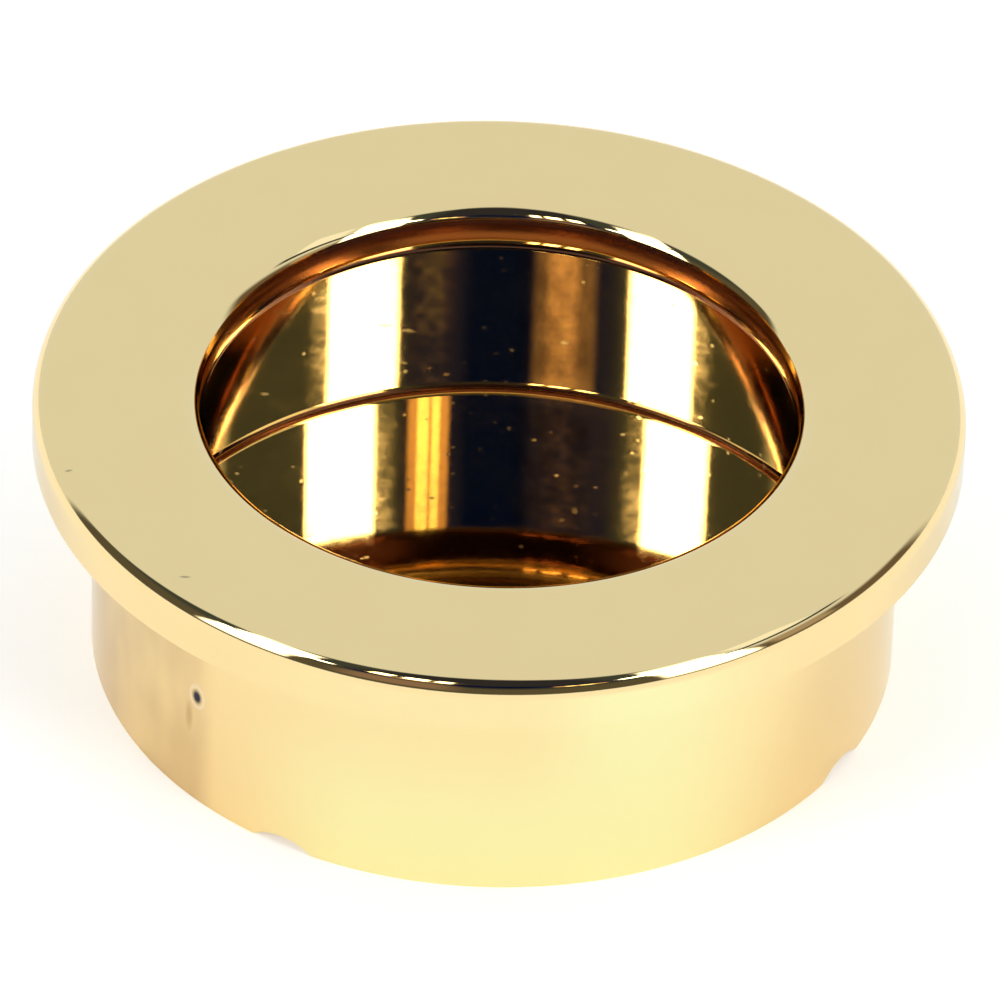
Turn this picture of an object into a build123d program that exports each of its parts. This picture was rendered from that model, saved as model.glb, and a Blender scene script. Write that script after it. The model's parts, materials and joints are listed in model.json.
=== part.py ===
import os

from build123d import *

# A round recessed pull for a sliding door: a flat flange, a lip to hook a finger under,
# and a skirt that drops into a bored hole. A thin disc, set in from behind, closes the cup.
# Millimetres. +Z points out of the door, Z = 0 is the back rim and X = Y = 0 the centre line.

# Flange, the ring that stays on the face of the door
flange_diameter = 40.0
flange_thickness = 2.6
face_edge_rounding = 0.95
back_edge_break = 0.2

# Skirt, the tube that goes into the door
door_hole_diameter = 35.0
door_hole_clearance = 0.1
skirt_length = 10.6
skirt_wall = 1.4

# Mouth of the cup, and the lip that overhangs the chamber
mouth_diameter = 25.5
lip_thickness = 2.6
lip_upper_rounding = 1.15
lip_under_rounding = 1.0

# Foot of the cup wall, eased back a little just above the shoulder that the disc seats against
foot_ease_width = 0.085
foot_ease_height = 0.4

# Floor disc
disc_thickness = 0.6
disc_inset = 0.2
seat_wall = 0.8
seat_clearance = 0.03

# Half-round notches in the back rim
notch_count = 4
notch_radius = 2.2
notch_depth = 0.52
first_notch_angle = 60.3

# A rounding or an edge break takes no more than this share of the wall that it is on
largest_share = 0.45

# Two edges this close in height count as level
level_tolerance = 0.005

# Radii, from the flange's edge inwards
flange_radius = flange_diameter / 2
skirt_radius = door_hole_diameter / 2 - door_hole_clearance
seat_radius = skirt_radius - seat_wall
disc_radius = seat_radius - seat_clearance
chamber_radius = skirt_radius - skirt_wall
shoulder_radius = chamber_radius + foot_ease_width
mouth_radius = mouth_diameter / 2

# Heights, from the back rim to the face
disc_top = disc_inset + disc_thickness
foot_ease_top = disc_top + foot_ease_height
flange_back = skirt_length
face_height = flange_back + flange_thickness
lip_underside = face_height - lip_thickness


def ring_edge(part, radius, height):
    """Return the round edge at this height whose radius is nearest to the one given."""
    rings = part.edges().filter_by(GeomType.CIRCLE)
    level_rings = rings.filter_by_position(
        Axis.Z, height - level_tolerance, height + level_tolerance
    )
    return level_rings.sort_by(lambda ring: abs(ring.radius - radius))[0]


# Body: flange, lip and skirt, turned as one piece and open at the back
with BuildPart() as body:
    with BuildSketch(Plane.XZ):
        with BuildLine():
            Polyline(
                (mouth_radius, face_height),
                (flange_radius, face_height),
                (flange_radius, flange_back),
                (skirt_radius, flange_back),
                (skirt_radius, 0),
                (seat_radius, 0),
                (seat_radius, disc_top),
                (shoulder_radius, disc_top),
                (chamber_radius, foot_ease_top),
                (chamber_radius, lip_underside),
                (mouth_radius, lip_underside),
                close=True,
            )
        make_face()
    revolve(axis=Axis.Z)

    # The outer edge of the flange, soft in front and just broken behind
    largest_flange_rounding = largest_share * flange_thickness
    fillet(
        ring_edge(body, flange_radius, face_height),
        min(face_edge_rounding, largest_flange_rounding),
    )
    chamfer(
        ring_edge(body, flange_radius, flange_back),
        min(back_edge_break, largest_flange_rounding),
    )

    # The lip, rounded above and below for the fingertip
    largest_lip_rounding = largest_share * lip_thickness
    fillet(
        ring_edge(body, mouth_radius, face_height),
        min(lip_upper_rounding, largest_lip_rounding),
    )
    fillet(
        ring_edge(body, mouth_radius, lip_underside),
        min(lip_under_rounding, largest_lip_rounding),
    )

    # The notches, cut through the thin rim round the disc
    with PolarLocations(skirt_radius - seat_wall / 2, notch_count, first_notch_angle):
        with Locations((0, 0, notch_depth - notch_radius)):
            Cylinder(
                notch_radius,
                2 * seat_wall,
                rotation=(0, 90, 0),
                mode=Mode.SUBTRACT,
            )

# Floor disc: blanked from sheet, pushed in from behind up to the shoulder
with BuildPart(Plane.XY.offset(disc_inset)) as floor_disc:
    Cylinder(
        disc_radius,
        disc_thickness,
        align=(Align.CENTER, Align.CENTER, Align.MIN),
    )

body.part.label = "body"
floor_disc.part.label = "floor_disc"

os.makedirs("parts", exist_ok=True)
export_step(body.part, "parts/body.step")
export_step(floor_disc.part, "parts/floor_disc.step")
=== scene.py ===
# %% [markdown]
# # A recessed pull in polished brass
#
# This part sits in a bored hole near the edge of a sliding door, and a fingertip hooks under
# its lip to draw the door along. The real one is most likely two pieces. The body is flange,
# lip and skirt in one, turned or cast in brass and open at the back. A thin brass disc, pushed
# in from behind, closes the cup.
#
# The frame of this lesson is the measured CAD model. It gives the place and the outer size
# of both pieces. Here each piece is made again with finer roundings, because on a mirror
# finish every rounding is a small curved mirror, and a coarse one breaks the highlights into
# steps.

# %% Load the measured frame
import json
import math
from collections import namedtuple

import bmesh
import bpy
from mathutils import Matrix, Quaternion, Vector


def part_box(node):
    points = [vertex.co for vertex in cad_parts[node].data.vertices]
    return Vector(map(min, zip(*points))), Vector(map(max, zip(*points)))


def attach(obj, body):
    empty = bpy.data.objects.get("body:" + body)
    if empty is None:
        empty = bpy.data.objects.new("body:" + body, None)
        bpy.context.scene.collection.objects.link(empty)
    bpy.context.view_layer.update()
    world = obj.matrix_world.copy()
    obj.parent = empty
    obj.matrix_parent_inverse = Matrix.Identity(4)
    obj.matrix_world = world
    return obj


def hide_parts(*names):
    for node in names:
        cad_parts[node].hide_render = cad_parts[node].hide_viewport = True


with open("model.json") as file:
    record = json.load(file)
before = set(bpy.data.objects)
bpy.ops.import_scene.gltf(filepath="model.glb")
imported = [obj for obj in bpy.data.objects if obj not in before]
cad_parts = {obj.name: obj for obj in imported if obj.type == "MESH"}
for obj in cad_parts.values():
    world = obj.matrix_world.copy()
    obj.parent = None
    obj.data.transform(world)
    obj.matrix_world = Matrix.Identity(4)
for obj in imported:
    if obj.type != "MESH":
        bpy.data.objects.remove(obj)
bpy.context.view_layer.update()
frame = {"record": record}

# %% [markdown]
# ## Sizes
#
# The outer sizes come from the frame, so the pieces made here can't grow past it. The sizes
# inside the cup are the maker's own, in millimetres.
#
# A mirror shows very small slopes, so this section has a few that a plain model can do
# without. The chamber's wall widens by 0.12 mm towards the back, which turns its picture of
# the room by more than a degree. Its foot is eased outwards just above the disc. The lip's
# inner face slopes, and its underside rises from the tip to the wall. These slopes are the
# maker's reading of what the brass reflects, and nobody has measured them.
#
# A reach is how far from its corner a rounding starts, measured along both faces. On a square
# corner it is the same as the radius.

# %% Outer sizes, from the frame
MM = 0.001

body_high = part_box("body")[1]
disc_low, disc_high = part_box("floor_disc")
skirt_mount = frame["record"]["mounts"][0]["dims"]

flange_radius = body_high[0] / MM
face_height = body_high[2] / MM
skirt_radius = skirt_mount["r_mm"]
flange_back = skirt_mount["length_mm"]
disc_radius = disc_high[0] / MM
disc_top = disc_high[2] / MM
disc_back = disc_low[2] / MM
print(f"flange radius {flange_radius:.2f}, face {face_height:.2f} above the back rim")

# %% Sizes of the flange and the lip
face_edge_rounding = 0.95
back_edge_rounding = 0.08

mouth_radius = 12.75
lip_thickness = 2.6
lip_upper_rounding = 1.15
lip_upper_turn = math.radians(57)
lip_slope_depth = 1.15
lip_slope_reach = 0.38
lip_under_reach = 1.25
lip_tip_drop = 0.25
lip_root_rise = 0.6

lip_underside = face_height - lip_thickness
lip_upper_reach = lip_upper_rounding * math.tan(lip_upper_turn / 2)
lip_edge_radius = mouth_radius + lip_upper_rounding - lip_upper_reach
print(f"mouth {2 * mouth_radius:.2f} across, underside of the lip at {lip_underside:.2f}")

# %% Sizes of the chamber, the seat and the notches
chamber_top_radius = 16.0
chamber_foot_radius = 16.12
chamber_top_reach = 1.0
foot_rounding = 1.2
foot_turn = math.radians(19)
seat_radius = 16.6

foot_reach = foot_rounding * math.tan(foot_turn / 2)
foot_flare = foot_reach * math.tan(foot_turn)

notch_count = 4
notch_radius = 2.2
notch_depth = 0.52
first_notch = math.radians(60.3)
notch_reach = math.sqrt(notch_radius**2 - (notch_radius - notch_depth) ** 2)
notch_half = math.asin(notch_reach / seat_radius)
print(f"cup {face_height - disc_top:.2f} deep, each notch {2 * notch_reach:.2f} wide")

# %% [markdown]
# ## Turning the body
#
# A lathe makes this body, so it is made the same way here: one closed section, swept once
# round the centre line. The section is a plain polygon of corners. Every corner that is soft
# on the real part is rounded afterwards, as a ring edge, with a bevel of many short steps.
#
# A guard point stands just outside each rounding. It keeps the bevel's end loops away from
# the next corner, and it keeps the shading of the flat faces flat.
#
# The sweep isn't even. The four stretches that carry a notch in the back rim get more steps,
# so that the half-round notches come out smooth.

# %% Put guard points beside the soft corners
GUARD = 0.03
ROOM_FOR_GUARD = 0.2


def toward(start, end, distance):
    """Return the point this far along the line from start to end."""
    share = distance / math.dist(start, end)
    return (
        start[0] + (end[0] - start[0]) * share,
        start[1] + (end[1] - start[1]) * share,
    )


def with_guards(corners):
    """Return the section's points, with a guard point on each side of a rounded corner."""
    points = []
    count = len(corners)
    for index, (radius, height, reach, _) in enumerate(corners):
        here = (radius, height)
        if not reach:
            points.append(here)
            continue
        before = corners[index - 1][:2]
        after = corners[(index + 1) % count][:2]
        if math.dist(here, before) > reach + ROOM_FOR_GUARD:
            points.append(toward(here, before, reach + GUARD))
        points.append(here)
        if math.dist(here, after) > reach + ROOM_FOR_GUARD:
            points.append(toward(here, after, reach + GUARD))
    return points


print(f"guard points stand {GUARD} outside each rounding")

# %% Turn a section on the lathe
SAME_PLACE = 1e-6


def ring_edges(mesh, radius, height):
    """Return the edges of the ring at this radius and height, both in millimetres."""
    def on_ring(vertex):
        aside = abs(math.hypot(vertex.co.x, vertex.co.y) - radius * MM)
        return aside < SAME_PLACE and abs(vertex.co.z - height * MM) < SAME_PLACE

    return [edge for edge in mesh.edges if all(on_ring(v) for v in edge.verts)]


def turn(corners, stretches):
    """Sweep a closed section round the Z axis, then round its soft corners."""
    mesh = bmesh.new()
    section = [mesh.verts.new((r * MM, 0, z * MM)) for r, z in with_guards(corners)]
    count = len(section)
    outline = [mesh.edges.new((section[i], section[(i + 1) % count])) for i in range(count)]
    moving = section + outline
    for angle, steps in stretches:
        swept = bmesh.ops.spin(
            mesh, geom=moving, cent=(0, 0, 0), axis=(0, 0, 1),
            angle=angle, steps=steps, use_duplicate=False,
        )
        moving = swept["geom_last"]
    bmesh.ops.remove_doubles(mesh, verts=mesh.verts, dist=SAME_PLACE)
    bmesh.ops.recalc_face_normals(mesh, faces=mesh.faces)
    for radius, height, reach, steps in corners:
        if reach:
            bmesh.ops.bevel(
                mesh, geom=ring_edges(mesh, radius, height), affect="EDGES",
                offset=reach * MM, offset_type="OFFSET", segments=steps,
                profile=0.5, material=-1, clamp_overlap=False,
            )
    return mesh


print("lathe ready")

# %% Turn the body
LARGE_STEPS = 16
SMALL_STEPS = 12
EDGE_STEPS = 8
NOTCH_STEPS = 24
PLAIN_STEPS = 100
PAST_ROUNDING = 0.02
SHORT_OF_DISC = 0.01

# The slope starts just past the end of the upper rounding, at a slight ridge.
slope_start = lip_upper_reach + PAST_ROUNDING
lip_slope_top = (
    lip_edge_radius - slope_start * math.cos(lip_upper_turn),
    face_height - slope_start * math.sin(lip_upper_turn),
)

# Each corner is radius, height, how far its rounding reaches and the steps in the rounding.
body_section = [
    (mouth_radius, face_height - lip_slope_depth, lip_slope_reach, SMALL_STEPS),
    (*lip_slope_top, 0, 0),
    (lip_edge_radius, face_height, lip_upper_reach, LARGE_STEPS),
    (flange_radius, face_height, face_edge_rounding, LARGE_STEPS),
    (flange_radius, flange_back, back_edge_rounding, EDGE_STEPS),
    (skirt_radius, flange_back, 0, 0),
    (skirt_radius, 0, 0, 0),
    (seat_radius, 0, 0, 0),
    (seat_radius, disc_top, 0, 0),
    (chamber_foot_radius + foot_flare, disc_top, 0, 0),
    (chamber_foot_radius, disc_top + foot_reach, foot_reach - SHORT_OF_DISC, SMALL_STEPS),
    (chamber_top_radius, lip_underside + lip_root_rise, chamber_top_reach, LARGE_STEPS),
    (mouth_radius, lip_underside - lip_tip_drop, lip_under_reach, LARGE_STEPS),
]

plain_turn = 2 * math.pi / notch_count - 2 * notch_half
stretches = [(2 * notch_half, NOTCH_STEPS), (plain_turn, PLAIN_STEPS)] * notch_count
body_mesh = turn(body_section, stretches)
print(f"body turned, {len(body_mesh.faces)} faces")

# %% [markdown]
# ## The notches in the back rim
#
# Four half-round notches are cut across the thin rim behind the disc. They may be there to
# key the adhesive, or to let a tool in behind the disc. The rim's lower edge is simply raised
# along a circle's arc there, inside the narrow steps that were left for it.

# %% Raise the rim at each notch
bmesh.ops.rotate(
    body_mesh, verts=body_mesh.verts, cent=(0, 0, 0),
    matrix=Matrix.Rotation(first_notch - notch_half, 3, "Z"),
)
raised = 0
for vertex in body_mesh.verts:
    if abs(vertex.co.z) > SAME_PLACE:
        continue
    for number in range(notch_count):
        angle = first_notch + number * 2 * math.pi / notch_count
        outward = Vector((math.cos(angle), math.sin(angle), 0))
        across = Vector((-math.sin(angle), math.cos(angle), 0))
        aside = vertex.co.dot(across) / MM
        if vertex.co.dot(outward) > 0 and abs(aside) < notch_reach:
            arc = math.sqrt(notch_radius**2 - aside**2)
            vertex.co.z = (arc - notch_radius + notch_depth) * MM
            raised += 1
print(f"{raised} points raised in {notch_count} notches")

# %% [markdown]
# ## From mesh to piece
#
# The roundings are shaded smooth and the real corners stay sharp. A corner counts as real
# where two faces meet at more than 12 degrees.

# %% Make an object of a mesh
SHARP = math.radians(12)


def finish_piece(mesh, name, node):
    """Shade the mesh, link it as a piece that stands for a CAD node, and return it."""
    for face in mesh.faces:
        face.smooth = True
    for edge in mesh.edges:
        if len(edge.link_faces) == 2 and edge.calc_face_angle(0) > SHARP:
            edge.smooth = False
    data = bpy.data.meshes.new(name)
    mesh.to_mesh(data)
    mesh.free()
    piece = bpy.data.objects.new(name, data)
    bpy.context.scene.collection.objects.link(piece)
    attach(piece, "root")
    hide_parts(node)
    print(f"{name}: {len(data.polygons)} faces")
    return piece


pull_body = finish_piece(body_mesh, "pull_body", "body")

# %% [markdown]
# ## The floor disc
#
# A disc like this is blanked from brass sheet and polished on its inner side before it goes
# in, so the floor of the cup can be a clean mirror. It seats against a thin shoulder.

# %% Blank the disc
DISC_STEPS = 256

disc_mesh = bmesh.new()
bmesh.ops.create_circle(
    disc_mesh, cap_ends=True, segments=DISC_STEPS, radius=disc_radius * MM,
    matrix=Matrix.Translation((0, 0, disc_back * MM)),
)
raised_face = bmesh.ops.extrude_face_region(disc_mesh, geom=disc_mesh.faces[:])
bmesh.ops.translate(
    disc_mesh, vec=(0, 0, (disc_top - disc_back) * MM),
    verts=[item for item in raised_face["geom"] if isinstance(item, bmesh.types.BMVert)],
)
bmesh.ops.recalc_face_normals(disc_mesh, faces=disc_mesh.faces)
cup_floor = finish_piece(disc_mesh, "cup_floor", "floor_disc")

# %% [markdown]
# ## Node helpers
#
# The finish is built from shader nodes. These short helpers keep each recipe readable. One
# adds a node, a few do sums, and others make a soft step, a soft window that is 1 between two
# values, or a blend of two colours. The last two give noise and the distance from a point.

# %% Helpers that add nodes and do sums


def feed(tree, socket, value):
    """Join a socket to another one, or give it a plain value."""
    if isinstance(value, bpy.types.NodeSocket):
        tree.links.new(value, socket)
    elif socket.type == "RGBA":
        socket.default_value = (*value, 1.0)
    else:
        socket.default_value = value


def add(tree, kind, inputs, **settings):
    """Add a node, set it up, feed its inputs and return it."""
    made = tree.nodes.new(kind)
    for name, value in settings.items():
        setattr(made, name, value)
    for socket, value in inputs.items():
        feed(tree, made.inputs[socket], value)
    return made


def sums(tree, operation, first, second=0.0):
    """Return the result of one sum on numbers or sockets."""
    return add(tree, "ShaderNodeMath", {0: first, 1: second}, operation=operation).outputs[0]


def plus(tree, first, *others):
    """Return all the amounts added up."""
    for other in others:
        first = sums(tree, "ADD", first, other)
    return first


def times(tree, first, *others):
    """Return all the amounts multiplied, which is 1 only where all of them are."""
    for other in others:
        first = sums(tree, "MULTIPLY", first, other)
    return first


def without(tree, amount):
    """Return what an amount leaves of 1."""
    return sums(tree, "SUBTRACT", 1.0, amount)


print("node sums ready")

# %% Helpers for soft borders, blends and patterns


def rise(tree, value, low, high):
    """Return a smooth step, 0 below low and 1 above high."""
    inputs = {"Value": value, "From Min": low, "From Max": high}
    step = add(tree, "ShaderNodeMapRange", inputs, interpolation_type="SMOOTHSTEP")
    return step.outputs["Result"]


def fall(tree, value, low, high):
    """Return a smooth step, 1 below low and 0 above high."""
    return without(tree, rise(tree, value, low, high))


def window(tree, value, low, high, soft):
    """Return 1 between low and high and 0 outside, with soft borders."""
    return times(
        tree, rise(tree, value, low - soft, low + soft),
        fall(tree, value, high - soft, high + soft),
    )


def blend(tree, amount, first, second):
    """Return a colour that goes from first to second with the amount."""
    inputs = {0: amount, 6: first, 7: second}
    return add(tree, "ShaderNodeMix", inputs, data_type="RGBA").outputs[2]


def noise(tree, position, scale, detail, stretch=(1, 1, 1)):
    """Return noise between 0 and 1, finer for a higher scale."""
    place = add(tree, "ShaderNodeVectorMath", {0: position, 1: stretch}, operation="MULTIPLY")
    inputs = {"Vector": place.outputs[0], "Scale": scale, "Detail": detail}
    return add(tree, "ShaderNodeTexNoise", inputs).outputs["Fac"]


def distance(tree, position, point, stretch=(1, 1, 1)):
    """Return the distance from a point, with some directions counted for more."""
    apart = add(tree, "ShaderNodeVectorMath", {0: position, 1: point}, operation="SUBTRACT")
    inputs = {0: apart.outputs[0], 1: stretch}
    scaled = add(tree, "ShaderNodeVectorMath", inputs, operation="MULTIPLY")
    length = add(tree, "ShaderNodeVectorMath", {0: scaled.outputs[0]}, operation="LENGTH")
    return length.outputs["Value"]


print("node patterns ready")

# %% [markdown]
# ## Polished brass
#
# Brass mirrors red and green well and blue poorly, so each bounce makes the picture warmer.
# One bounce is a pale straw, and after two or three, in the cup, it is a deep gold. The open
# surfaces need hardly any other colour.
#
# What makes it look used and not drawn is the finish, together with some painted shade and
# painted reflections, and all of it is placed by where a spot is on the part:
#
# - Buffing leaves a faint haze in patches, so the edge of a mirrored light is never clean.
# - Dried drops leave small dull specks in the cup. A mottled brown streak down the far wall
#   is painted sheen, for the lamps' light that the wall scatters near its mirror direction.
# - The lip's face, its underside and the top of the wall below it are painted red and dark,
#   as painted shade and painted reflection for the dim light that bounces many times in the
#   cup. The near underside is also duller and partly not metal. The far side of the
#   underside and the foot of the wall are painted darker, as painted shade. These tints are
#   given one by one.
# - The outside of the skirt is painted lemon in the middle of its near and far sides, as a
#   painted reflection of the bright table, and brown in patches on one side, as painted
#   shade of the part's shadow that it mirrors. It has a pit, whose dark is painted shade and
#   whose pale rim is a painted highlight, and a smear.
# - The face has two short ticks.

# %% Find the place of a spot on the part
Place = namedtuple("Place", "spot x y z radius in_cup")


def find_place(tree):
    """Return a spot in millimetres, its parts, its radius, and how far it is in the cup."""
    local = add(tree, "ShaderNodeTexCoord", {}).outputs["Object"]
    inputs = {0: local, "Scale": 1 / MM}
    spot = add(tree, "ShaderNodeVectorMath", inputs, operation="SCALE").outputs[0]
    x, y, z = add(tree, "ShaderNodeSeparateXYZ", {0: spot}).outputs
    flat = add(tree, "ShaderNodeCombineXYZ", {0: x, 1: y}).outputs[0]
    radius = distance(tree, flat, (0, 0, 0))
    in_cup = times(
        tree, fall(tree, radius, chamber_foot_radius + 0.08, chamber_foot_radius + 0.28),
        fall(tree, z, face_height - 1.6, face_height - 0.8),
    )
    return Place(spot, x, y, z, radius, in_cup)


def ring_zone(tree, place, radii, side_softness, heights, softness):
    """Return 1 in a ring between two radii and two heights, with soft borders."""
    return times(
        tree, window(tree, place.radius, *radii, side_softness),
        window(tree, place.z, *heights, softness),
    )


print(f"the cup's finish ends {face_height - 1.6:.1f} to {face_height - 0.8:.1f} up")

# %% Buff the brass, and let drops dry in the cup
CLEAN_BRASS = (0.95, 0.72, 0.355)
CLOUDED_BRASS = (0.93, 0.70, 0.345)
DRIED_DROP = (0.80, 0.80, 0.62)
BUFFED_ROUGHNESS = 0.02
CLOUD_ROUGHNESS = 0.04
HAZE_ROUGHNESS = 0.03
DROP_ROUGHNESS = 0.20
DROP_TINT = 0.35


def buff(tree, place):
    """Return the clouded colour of the brass and the roughness that buffing leaves."""
    cloud = noise(tree, place.spot, 0.35, 3.0)
    patches = rise(tree, noise(tree, place.spot, 2.0, 2.5), 0.35, 0.85)
    haze = times(tree, patches, place.in_cup, HAZE_ROUGHNESS)
    colour = blend(tree, cloud, CLEAN_BRASS, CLOUDED_BRASS)
    return colour, plus(tree, haze, BUFFED_ROUGHNESS, times(tree, cloud, CLOUD_ROUGHNESS))


def dry_drops(tree, place, colour, roughness):
    """Scatter small dull specks in the cup, in a few cells of a random pattern."""
    cells = add(tree, "ShaderNodeTexVoronoi", {"Vector": place.spot, "Scale": 1.6})
    chosen = rise(tree, cells.outputs["Color"], 0.72, 0.76)
    dot = fall(tree, cells.outputs["Distance"], 0.04, 0.28)
    speck = times(tree, chosen, dot, place.in_cup)
    colour = blend(tree, times(tree, speck, DROP_TINT), colour, DRIED_DROP)
    return colour, plus(tree, roughness, times(tree, speck, DROP_ROUGHNESS))


print("buffed roughness", BUFFED_ROUGHNESS, "and", DROP_ROUGHNESS, "more on a drop")

# %% Paint shade and bounced red light onto the lip
# Painted shade and painted reflection: these reds and darks stand in for the dim light that
# bounces many times under the lip, on its face and at the top of the wall below it.
UNDER_LIP_SHADE_RED = (0.66, 0.26, 0.15)
UNDER_LIP_SHADE_DARK = (0.09, 0.035, 0.04)
LIP_ROOT_SHADE_BROWN = (0.70, 0.42, 0.17)
LIP_FACE_SHADE_LOW = (0.42, 0.19, 0.11)
LIP_FACE_SHADE_HIGH = (0.20, 0.085, 0.07)
lip_root_radius = 15.1
LIP_NEAR_DULL = 0.30
LIP_FAR_DULL = 0.06
LIP_FACE_DULL = 0.16
NEAR_LIP_NONMETAL = 0.7


def paint_lip_shade(tree, place, colour, roughness):
    """Paint red shade onto the lip, dull it, and return how much of it stays metal."""
    far_side = rise(tree, place.y, 1.0, 6.0)
    far_middle = times(tree, far_side, window(tree, place.x, -8.0, 8.0, 1.5))
    under_lip = ring_zone(
        tree, place, (mouth_radius - 0.15, lip_root_radius), 0.1,
        (lip_underside - 0.2, lip_underside + 0.8), 0.1,
    )
    far_under_lip = times(tree, under_lip, far_middle)
    near_under_lip = sums(tree, "SUBTRACT", under_lip, far_under_lip)
    root = ring_zone(
        tree, place, (lip_root_radius, chamber_top_radius + 0.4), 0.1,
        (lip_underside - 0.7, lip_underside + 0.8), 0.1,
    )
    lip_face = ring_zone(
        tree, place, (mouth_radius - 0.15, mouth_radius + 0.45), 0.1,
        (face_height - 1.54, face_height - 0.6), 0.04,
    )
    lip_face = times(tree, lip_face, far_side)
    going_up = rise(tree, place.z, face_height - 1.25, face_height - 1.0)
    lip_face_shade = blend(tree, going_up, LIP_FACE_SHADE_LOW, LIP_FACE_SHADE_HIGH)

    colour = blend(tree, under_lip, colour, UNDER_LIP_SHADE_RED)
    colour = blend(tree, far_under_lip, colour, UNDER_LIP_SHADE_DARK)
    colour = blend(tree, root, colour, LIP_ROOT_SHADE_BROWN)
    colour = blend(tree, lip_face, colour, lip_face_shade)
    roughness = plus(
        tree, roughness, times(tree, near_under_lip, LIP_NEAR_DULL),
        times(tree, far_under_lip, LIP_FAR_DULL), times(tree, lip_face, LIP_FACE_DULL),
    )
    # The near underside is made partly non-metal, so that its painted red also shows as a dull
    # colour.
    return colour, roughness, without(tree, times(tree, near_under_lip, NEAR_LIP_NONMETAL))


print("underside of the lip tinted", UNDER_LIP_SHADE_RED)

# %% Paint shade into the foot of the wall, and a mottled sheen on the wall above it
# Painted shade: the foot of the wall, in its corner with the disc, is darkened.
FOOT_SHADE_BROWN = (0.28, 0.12, 0.10)
FOOT_DULL = 0.15
# Painted sheen: a mottled brown streak on the far wall, for the lamps' light that the wall
# scatters near its mirror direction.
WALL_PAINTED_SHEEN = (0.42, 0.30, 0.16)


def paint_foot_shade(tree, place, colour, roughness):
    """Paint shade into the eased foot of the wall, in its corner with the disc, and dull it.
    """
    foot = ring_zone(
        tree, place, (chamber_foot_radius - 0.22, chamber_foot_radius + 0.28), 0.05,
        (disc_top + 0.02, disc_top + 0.22), 0.02,
    )
    colour = blend(tree, foot, colour, FOOT_SHADE_BROWN)
    return colour, plus(tree, roughness, times(tree, foot, FOOT_DULL))


def paint_wall_sheen(tree, place, colour):
    """Paint one mottled sheen down the far wall, for the lamps' light that it scatters."""
    sheen_streak = times(
        tree, window(tree, place.x, 0.8, 4.1, 0.5), window(tree, place.z, 1.6, 9.8, 0.4),
        rise(tree, place.y, 12.0, 13.0), place.in_cup,
    )
    mottle = rise(tree, noise(tree, place.spot, 0.8, 3.0, (1.6, 1.0, 0.8)), 0.15, 0.85)
    return blend(tree, times(tree, sheen_streak, mottle), colour, WALL_PAINTED_SHEEN)


print("foot of the wall", FOOT_SHADE_BROWN, "and a stain above it", WALL_PAINTED_SHEEN)

# %% Paint the skirt's mirrored light and shade
# Painted reflection and painted shade: lemon where the skirt mirrors the bright table in
# front, and brown on the left, where it mirrors the part's shadow on the table.
SKIRT_REFLECTED_LEMON = (0.93, 0.86, 0.44)
SKIRT_SHADE_BROWN = (0.73, 0.52, 0.25)
LEMON_LOSS = 0.7
SKIRT_SHADE_STRENGTH = 0.9


def paint_skirt_light_and_shade(tree, place, colour):
    """Paint mirrored light as lemon in the skirt's middle, and shade as brown on its left."""
    outside = times(
        tree, rise(tree, place.radius, skirt_radius - 0.2, skirt_radius - 0.1),
        fall(tree, place.z, face_height - 1.0, face_height - 0.7),
    )
    high_on_left = times(tree, rise(tree, place.z, 2.5, 8.5), fall(tree, place.x, 1.0, 6.0))
    lemon = times(
        tree, outside, window(tree, place.x, -8.5, 10.5, 3.5),
        without(tree, times(tree, high_on_left, LEMON_LOSS)),
    )
    colour = blend(tree, lemon, colour, SKIRT_REFLECTED_LEMON)
    left = rise(tree, times(tree, place.x, -1.0), 11.4, 12.6)
    shade_patches = rise(tree, noise(tree, place.spot, 0.22, 2.0, (1, 1, 0.6)), 0.25, 0.60)
    below_flange = fall(tree, place.z, flange_back - 0.2, flange_back + 0.1)
    skirt_shade = times(tree, outside, left, shade_patches, below_flange, SKIRT_SHADE_STRENGTH)
    return blend(tree, skirt_shade, colour, SKIRT_SHADE_BROWN)


print("skirt coloured", SKIRT_REFLECTED_LEMON, "and", SKIRT_SHADE_BROWN)

# %% Mark the skirt and the face
# The pit is a real mark, but its dark is painted shade and its pale rim a painted highlight.
# The smear under it is a mark on the metal.
PIT_SHADE = (0.035, 0.03, 0.06)
PIT_RIM_HIGHLIGHT = (0.92, 0.80, 0.66)
SMEAR_BROWN = (0.45, 0.25, 0.08)
TICK_DARK = (0.30, 0.26, 0.14)
PIT_PLACE = (-12.39, -12.22, 5.62)
SMEAR_PLACE = (-12.72, -11.86, 4.35)
PIT_ROUGHNESS = 0.4

# Each tick is its place, and how much distance counts along x, y and z
ticks = (
    ((-12.92, -13.59, face_height), (0.5, 1.6, 1)),
    ((-18.17, -6.61, face_height), (0.6, 1.6, 1)),
)


def mark_pit(tree, place, colour, roughness):
    """Paint a pit's shade and the highlight on its rim, with a brown smear under it."""
    from_pit = distance(tree, place.spot, PIT_PLACE, (1, 1, 0.75))
    from_smear = distance(tree, place.spot, SMEAR_PLACE, (1, 1, 0.30))
    pit = fall(tree, from_pit, 0.12, 0.36)
    rim_highlight = window(tree, from_pit, 0.36, 0.46, 0.08)
    smear = fall(tree, from_smear, 0.05, 0.32)
    colour = blend(tree, times(tree, smear, 0.45), colour, SMEAR_BROWN)
    colour = blend(tree, times(tree, rim_highlight, 0.5), colour, PIT_RIM_HIGHLIGHT)
    colour = blend(tree, pit, colour, PIT_SHADE)
    return colour, plus(tree, roughness, times(tree, pit, PIT_ROUGHNESS))


def tick_face(tree, place, colour):
    """Leave the short ticks on the face of the flange."""
    for point, stretch in ticks:
        tick = fall(tree, distance(tree, place.spot, point, stretch), 0.04, 0.16)
        colour = blend(tree, times(tree, tick, 0.75), colour, TICK_DARK)
    return colour


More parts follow.
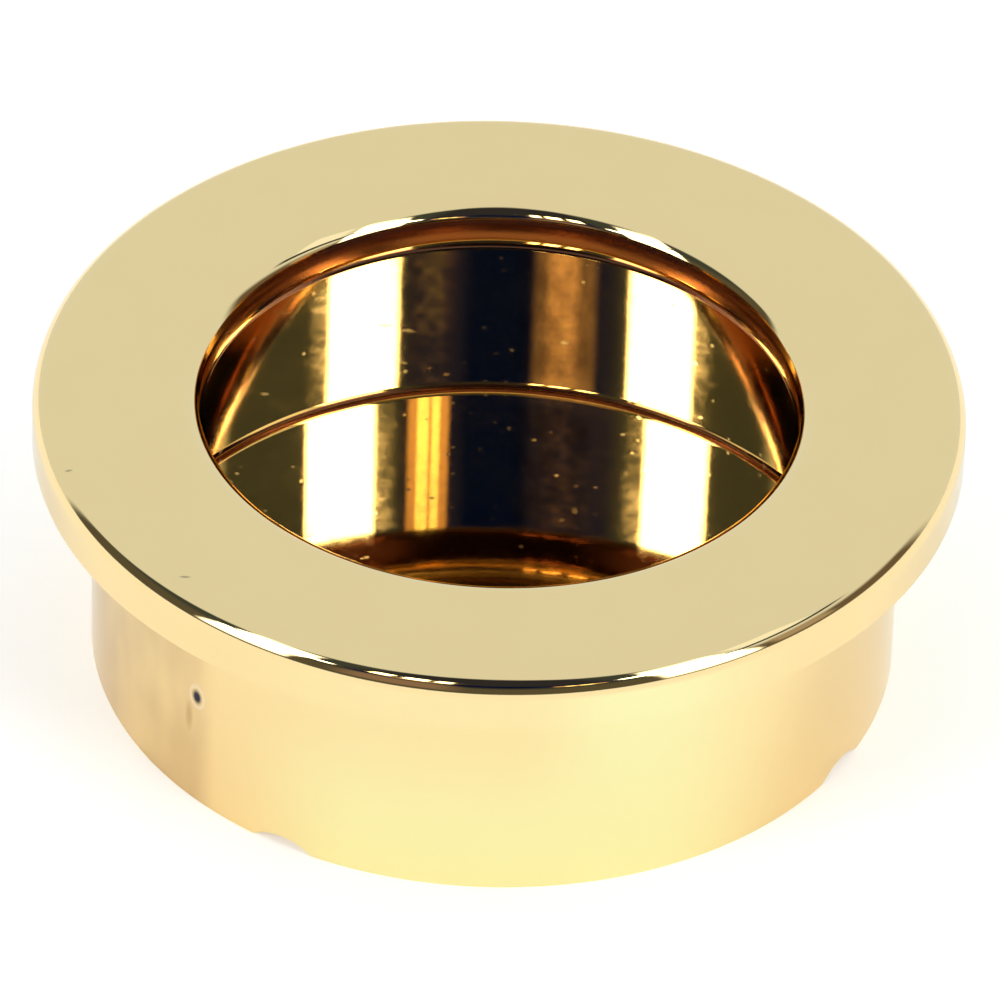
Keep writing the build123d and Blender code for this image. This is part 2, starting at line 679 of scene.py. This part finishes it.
print(f"one pit in the skirt, {len(ticks)} ticks on the face")

# %% Mix the brass
WAVE_HEIGHT = 1.2e-6


def polished_brass(name):
    """Return this part's brass, with wear and painted light placed in the part's own frame."""
    material = bpy.data.materials.new(name)
    material.use_nodes = True
    tree = material.node_tree
    place = find_place(tree)
    colour, roughness = buff(tree, place)
    colour, roughness = dry_drops(tree, place, colour, roughness)
    colour, roughness, metallic = paint_lip_shade(tree, place, colour, roughness)
    colour, roughness = paint_foot_shade(tree, place, colour, roughness)
    colour = paint_wall_sheen(tree, place, colour)
    colour = paint_skirt_light_and_shade(tree, place, colour)
    colour, roughness = mark_pit(tree, place, colour, roughness)
    colour = tick_face(tree, place, colour)

    # The faint wave that a buffing wheel leaves
    ripples = noise(tree, place.spot, 1.1, 4.0)
    inputs = {"Height": ripples, "Strength": 1.0, "Distance": WAVE_HEIGHT}
    wave = add(tree, "ShaderNodeBump", inputs)

    shader = tree.nodes["Principled BSDF"]
    feed(tree, shader.inputs["Base Color"], colour)
    feed(tree, shader.inputs["Metallic"], metallic)
    feed(tree, shader.inputs["Roughness"], roughness)
    feed(tree, shader.inputs["Normal"], wave.outputs[0])
    print(f"{name}: {len(tree.nodes)} nodes")
    return material


pull_body.data.materials.append(polished_brass("body_brass_and_painted_light"))
cup_floor.data.materials.append(polished_brass("disc_brass_finish"))

# %% [markdown]
# ## What the brass sees
#
# A polished part is painted by its surroundings, so the room is as much a part of the look
# as the metal. Directions are given as a bearing and a height, both in degrees. Bearing 0 is
# the camera's side, plus is to the right, and 180 is the far side. All of the room is set
# together with the slopes in the cup, so that each reflection falls in its place.
#
# The far side is a pale backdrop. Seen by the camera, the flat face of the flange mirrors only
# that. The camera's side is dark, from just above the table to well overhead. It ends lower
# towards the sides, and lower still on the right.

# %% Find the directions in the room
room = bpy.data.worlds.new("room")
bpy.context.scene.world = room
room.use_nodes = True
sky = room.node_tree
sky.nodes.clear()

facing = add(sky, "ShaderNodeTexCoord", {}).outputs["Generated"]
east, north, upward = add(sky, "ShaderNodeSeparateXYZ", {0: facing}).outputs
toward_camera = times(sky, north, -1.0)
to_degrees = 180 / math.pi
bearing = times(sky, sums(sky, "ARCTAN2", east, toward_camera), to_degrees)
height = times(sky, sums(sky, "ARCSINE", upward), to_degrees)
print("bearing and height, both in degrees")

# %% Mark out the dark half of the room
DARK_TOP = 76.0
SINK_AT_SIDE = 33.0
RIGHT_SINKS_MORE = 0.6
QUARTER_TURN = 90.0

side_share = sums(sky, "DIVIDE", sums(sky, "ABSOLUTE", bearing), QUARTER_TURN)
right_side = rise(sky, bearing, -10.0, 60.0)
sinking = times(
    sky, sums(sky, "POWER", side_share, 2.0), SINK_AT_SIDE,
    plus(sky, times(sky, right_side, RIGHT_SINKS_MORE), 1.0),
)
above_top = plus(sky, sums(sky, "SUBTRACT", height, DARK_TOP), sinking)
above_table = rise(sky, height, -1.0, 3.0)
dark_half = times(sky, fall(sky, above_top, -4.0, 4.0), above_table)
print(f"dark up to {DARK_TOP} in front, {DARK_TOP - SINK_AT_SIDE} a quarter turn to the left")

# %% [markdown]
# ## The colours of the dark half
#
# The dark half isn't one colour. Low down it is a warm dark all along. Above that it is olive
# at the sides and darker in the middle, where the camera stands, and a narrow blue-black band
# crosses the middle at the height that the wall and floor of the cup mirror. On the right a
# brown stretch follows, with a strip of olive above it at that same height.

# %% Colour the backdrop and the dark half
BACKDROP = (0.775, 0.86, 0.925)
RIGHT_BROWN = (0.15, 0.12, 0.09)
OLIVE_DARK = (0.050, 0.065, 0.072)
LOW_DARK = (0.10, 0.095, 0.075)
HIGH_DARK = (0.028, 0.030, 0.045)
NEAR_BLACK = (0.012, 0.016, 0.075)
BLUE_BLACK = (0.001, 0.005, 0.055)

low_room = times(sky, above_table, fall(sky, height, 20.0, 32.0))
lowest_dark = times(sky, dark_half, fall(sky, height, 26.0, 34.0))
higher_dark = times(sky, dark_half, rise(sky, height, 26.0, 34.0))
mirrored_dark = times(sky, dark_half, window(sky, height, 35.5, 42.0, 1.0))
mirrored_band = window(sky, height, 35.0, 40.6, 0.5)

# Each stretch is its colour, its heights, its bearings from and to, and how soft they end
stretches_of_room = (
    (RIGHT_BROWN, low_room, 56, 112, 6),
    (OLIVE_DARK, mirrored_band, 56, 96, 4),
    (OLIVE_DARK, dark_half, -110, 62, 5),
    (LOW_DARK, lowest_dark, -110, 62, 5),
    (HIGH_DARK, higher_dark, -36, 30, 5),
    (NEAR_BLACK, mirrored_dark, -36, 30, 5),
    (BLUE_BLACK, mirrored_dark, -9, 12, 3),
)
look = BACKDROP
for colour, share, left, right, soft in stretches_of_room:
    amount = times(sky, share, window(sky, bearing, left, right, soft))
    look = blend(sky, amount, look, colour)
print(f"backdrop {BACKDROP} and {len(stretches_of_room)} darker stretches")

# %% [markdown]
# ## Lights, lamps and panels
#
# - Two tall white lights stand left and right of the camera. They are the bright stripes.
#   They lean out a little, except in the band that the cup's wall mirrors. Each has a
#   brighter middle at the height that the wall and the floor show after two bounces, because
#   brass takes away most of the blue each time, and the stripes would turn cream there.
# - Three small lamps in a row make the rows of three bright spots.
# - A brown strip hangs below the lamps, with a brighter core. A warm strip with two bright
#   lines stands to the right of the camera.
# - A tan and a cream panel further right colour the edge there.

# %% Lean the tall lights
LEAN = 4.5
CHANGE_IN_WALL_BAND = -6.0
CHANGE_AT_TOP = 5.0

wall_band = window(sky, height, 37.8, 41.8, 0.4)
lean = plus(
    sky, times(sky, wall_band, CHANGE_IN_WALL_BAND), LEAN,
    times(sky, rise(sky, height, 42.0, 58.0), CHANGE_AT_TOP),
)
leaned = sums(sky, "SUBTRACT", bearing, times(sky, sums(sky, "SIGN", bearing), lean))
print(f"lights lean {LEAN} degrees out, and {LEAN + CHANGE_AT_TOP} at the top")

# %% Hang the panels
LIGHT = (3.5, 3.5, 3.5)
BRIGHT_MIDDLE = (9.0, 9.0, 9.0)
LAMP = (7.0, 6.4, 5.0)
MIDDLE_LAMP = (8.0, 7.4, 6.0)
WARM_LINE = (2.2, 2.0, 0.9)

# Each panel is name, bearing from and to, softness, height from and to, softness, colour
panels = (
    ("brown shade", bearing, -34, -9, 5, 10.0, 34.0, 3.0, (0.26, 0.19, 0.16)),
    ("brown strip", bearing, -29, -10, 2, 37.9, 42.2, 0.3, (0.28, 0.20, 0.16)),
    ("brown core", bearing, -24, -14, 2, 37.9, 42.2, 0.3, (0.38, 0.27, 0.20)),
    ("brown core's foot", bearing, -23.5, -14, 2, 37.9, 38.75, 0.3, (1.00, 0.66, 0.42)),
    ("warm strip", bearing, 15.6, 28.3, 1, 34.0, 37.3, 0.2, (0.90, 0.55, 0.28)),
    ("warm line 1", bearing, 18.4, 20.8, 0.6, 34.0, 37.3, 0.2, WARM_LINE),
    ("warm line 2", bearing, 21.8, 25.4, 0.6, 34.0, 37.3, 0.2, WARM_LINE),
    ("tan panel", leaned, 62, 78, 2, 8.0, 26.0, 4.0, (0.42, 0.36, 0.30)),
    ("cream panel", leaned, 63, 86, 2, 41.2, 56.0, 0.5, (1.05, 1.15, 1.25)),
    ("left light", leaned, -64, -42, 1.5, 8.0, 56.0, 4.0, LIGHT),
    ("left light's middle", leaned, -64, -42, 1.5, 31.0, 44.0, 1.0, BRIGHT_MIDDLE),
    ("right light", leaned, 34.7, 57.5, 1.5, 6.0, 56.0, 4.0, LIGHT),
    ("right light's middle", leaned, 34.7, 57.5, 1.5, 31.0, 44.0, 1.0, BRIGHT_MIDDLE),
    ("lamp 1", bearing, -31.5, -26.0, 0.7, 42.4, 50.5, 0.8, LAMP),
    ("lamp 2", bearing, -22.5, -16.5, 0.7, 42.4, 50.5, 0.8, MIDDLE_LAMP),
    ("lamp 3", bearing, -14.0, -10.0, 0.7, 42.4, 50.5, 0.8, LAMP),
)
for name, across, left, right, soft, low, high, fade, colour in panels:
    amount = times(
        sky, window(sky, across, left, right, soft), window(sky, height, low, high, fade)
    )
    look = blend(sky, amount, look, colour)

glow = add(sky, "ShaderNodeBackground", {"Color": look, "Strength": 1.0})
add(sky, "ShaderNodeOutputWorld", {0: glow.outputs[0]})
print(f"surroundings with {len(panels)} panels")

# %% [markdown]
# ## The table
#
# The part stands on a plain white table. It lights the skirt from below and is what the
# skirt mirrors, so it is a real surface and not a painted one. It has a paper's faint grain.
# It also glows faintly, so that it looks white, but only where the camera sees it, straight
# or in the brass. The glow lights nothing else, and the part's shadow stays.

# %% Lay the table
TABLE_HALF = 1.5

table_mesh = bmesh.new()
bmesh.ops.create_grid(table_mesh, x_segments=1, y_segments=1, size=TABLE_HALF)
table_data = bpy.data.meshes.new("table")
table_mesh.to_mesh(table_data)
table_mesh.free()
table = bpy.data.objects.new("table", table_data)
bpy.context.scene.collection.objects.link(table)
print("table", tuple(round(side, 2) for side in table.dimensions))

# %% Cover it with white paper
SEEN_GLOW = 0.10
MIRRORED_GLOW = 0.20

paper = bpy.data.materials.new("white_paper")
paper.use_nodes = True
paper_tree = paper.node_tree
paper_local = add(paper_tree, "ShaderNodeTexCoord", {}).outputs["Object"]
grain = noise(paper_tree, paper_local, 900.0, 3.0)
paper_white = blend(paper_tree, grain, (0.88, 0.88, 0.88), (0.90, 0.90, 0.90))

ray = add(paper_tree, "ShaderNodeLightPath", {}).outputs
seen_or_mirrored = sums(paper_tree, "MAXIMUM", ray["Is Camera Ray"], ray["Is Glossy Ray"])
seen_or_mirrored = sums(paper_tree, "MAXIMUM", seen_or_mirrored, ray["Is Transmission Ray"])
paper_glow = plus(
    paper_tree, times(paper_tree, seen_or_mirrored, MIRRORED_GLOW),
    times(paper_tree, ray["Is Camera Ray"], SEEN_GLOW),
)

paper_shader = paper_tree.nodes["Principled BSDF"]
feed(paper_tree, paper_shader.inputs["Base Color"], paper_white)
feed(paper_tree, paper_shader.inputs["Emission Color"], (1.0, 1.0, 1.0))
feed(paper_tree, paper_shader.inputs["Emission Strength"], paper_glow)
feed(paper_tree, paper_shader.inputs["Roughness"], 0.9)
feed(paper_tree, paper_shader.inputs["Specular IOR Level"], 0.0)
table_data.materials.append(paper)
print(f"paper glows {MIRRORED_GLOW} in the brass and {SEEN_GLOW} more when seen straight")

# %% [markdown]
# ## The camera
#
# A long lens from a little under 40 degrees up. It keeps the circles of the part close to
# true ellipses, and it shows the far wall and the floor of the cup in about equal halves.

# %% Set the camera
camera_height = math.radians(38.186)
camera_roll = math.radians(1.94)
camera_range = 0.52
camera_lens = 434.6
aim = Vector((0.156, 0.0, 7.176)) * MM

view_line = Vector((0, math.cos(camera_height), -math.sin(camera_height)))
level_turn = view_line.to_track_quat("-Z", "Y")
camera = bpy.data.objects.new("camera", bpy.data.cameras.new("camera"))
bpy.context.scene.collection.objects.link(camera)
camera.data.lens = camera_lens
camera.data.sensor_width = 36
camera.data.clip_end = 10
camera.location = aim - view_line * camera_range
camera.rotation_mode = "QUATERNION"
camera.rotation_quaternion = level_turn @ Quaternion((0, 0, 1), camera_roll)
bpy.context.scene.camera = camera
bpy.context.scene.view_settings.view_transform = "Standard"
print("camera at", tuple(round(value, 4) for value in camera.location))
